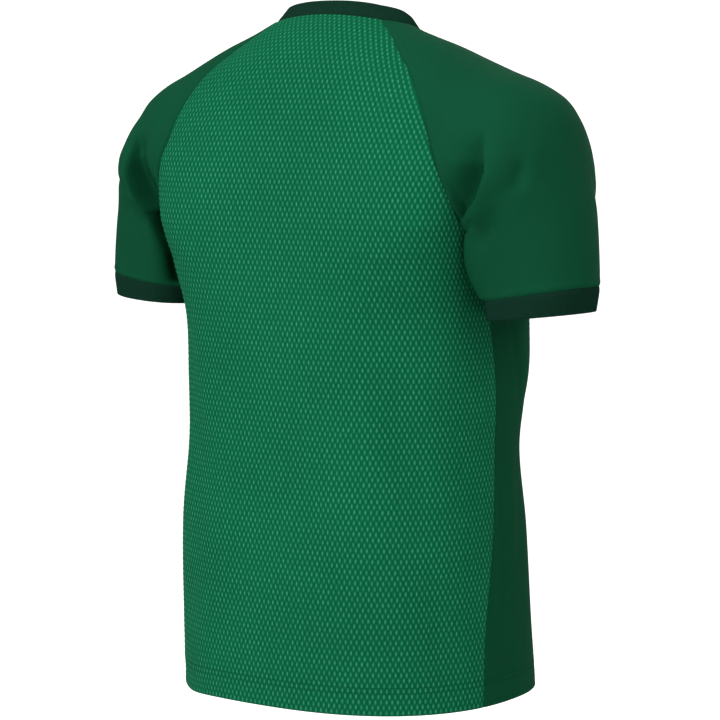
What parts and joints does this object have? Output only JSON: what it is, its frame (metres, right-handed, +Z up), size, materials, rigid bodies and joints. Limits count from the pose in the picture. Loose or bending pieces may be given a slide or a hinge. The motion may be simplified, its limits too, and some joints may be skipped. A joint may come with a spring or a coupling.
{
  "type": "short-sleeved raglan football jersey",
  "caption": "Short-sleeved football jersey with raglan sleeves, ribbed round collar, ribbed cuffs and side panels, filled out as if worn and open at neck, sleeves and hem.",
  "frame": {"origin": "middle of the neck base, level with the top of the raglan seams, where the wearer's shoulders carry the jersey", "axes": "+Z up, -Y towards the front, +X towards the wearer's left; the hem is at Z -0.698"},
  "size_m": [0.5878, 0.32, 0.7219],
  "materials": {
    "body_knit": "matte textured polyester knit with small raised light dashes",
    "side_knit": "matte smooth polyester knit",
    "sleeve_knit": "matte smooth polyester knit",
    "rib": "matte fine vertical rib"
  },
  "bodies": {
    "root": {"back": "body_knit", "front": "body_knit", "side_left": "side_knit", "side_right": "side_knit", "sleeve_left": "sleeve_knit", "sleeve_right": "sleeve_knit", "cuff_left": "rib", "cuff_right": "rib", "collar": "rib"}
  },
  "joints": []
}
